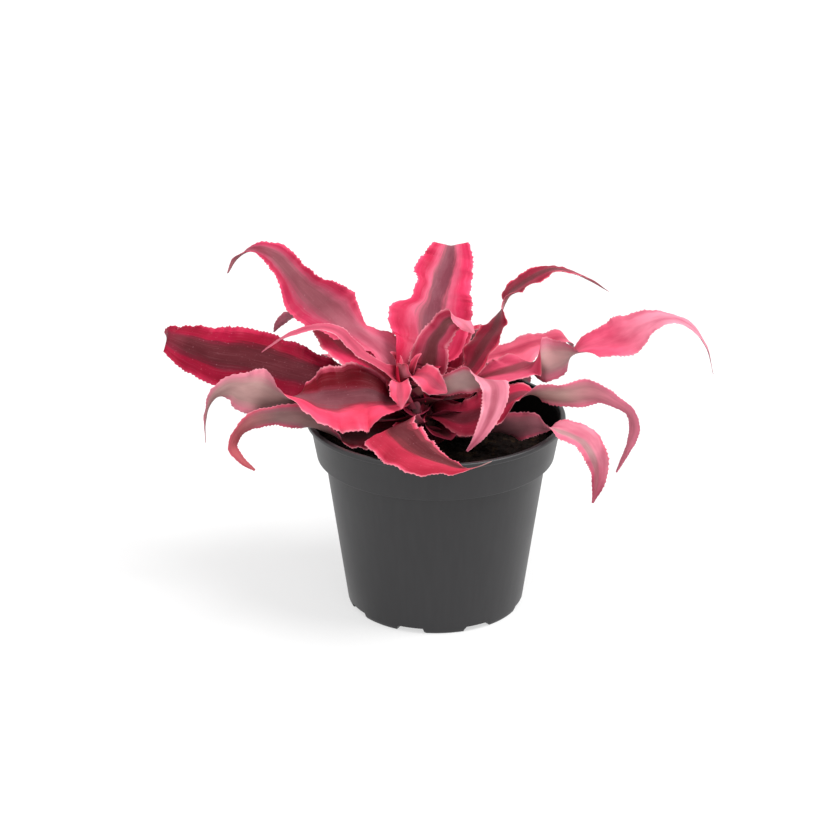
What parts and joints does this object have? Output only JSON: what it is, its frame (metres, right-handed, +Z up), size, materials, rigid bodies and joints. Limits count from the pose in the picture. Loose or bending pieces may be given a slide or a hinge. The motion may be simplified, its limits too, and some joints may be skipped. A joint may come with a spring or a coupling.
{
  "type": "potted plant",
  "caption": "Small bromeliad with wavy pink and maroon leaves radiating from a short stem, growing in a round dark plastic nursery pot.",
  "frame": {"origin": "centre of the pot's foot, on the ground it stands on", "axes": "+Z up, +X along the longest spread of the leaves, -Y towards the plant's front"},
  "size_m": [0.2577, 0.1433, 0.1607],
  "materials": {
    "pot_plastic": "moulded polypropylene, satin, dark grey",
    "soil": "moist peat and bark potting mix, rough, near black",
    "stem": "short fibrous plant stem",
    "leaf": "leathery waxy leaf, crimson with a maroon stripe above, grey-beige scurf below, fine pale teeth on the margin",
    "young_leaf": "young leaf at the heart, paler pink"
  },
  "bodies": {
    "root": {"pot": "pot_plastic", "soil": "soil", "stem": "stem", "leaf_left_broad": "leaf", "leaf_left_high": "leaf", "leaf_left_behind": "leaf", "leaf_left_inner": "leaf", "leaf_left_front": "leaf", "leaf_left_low": "leaf", "leaf_front": "leaf", "leaf_front_right": "leaf", "leaf_centre_upright": "leaf", "leaf_right_high": "leaf", "leaf_right_long": "leaf", "leaf_right_hooked": "leaf", "leaf_right_low": "leaf", "leaf_right_behind": "leaf", "leaf_back_tall": "leaf", "leaf_back_right": "leaf", "leaf_back_middle": "leaf", "leaf_back_left": "leaf", "leaf_back_inner": "leaf", "leaf_young_front": "young_leaf", "leaf_young_right": "young_leaf", "leaf_heart_right": "young_leaf", "leaf_heart_left": "young_leaf", "leaf_heart_front": "young_leaf"}
  },
  "joints": []
}
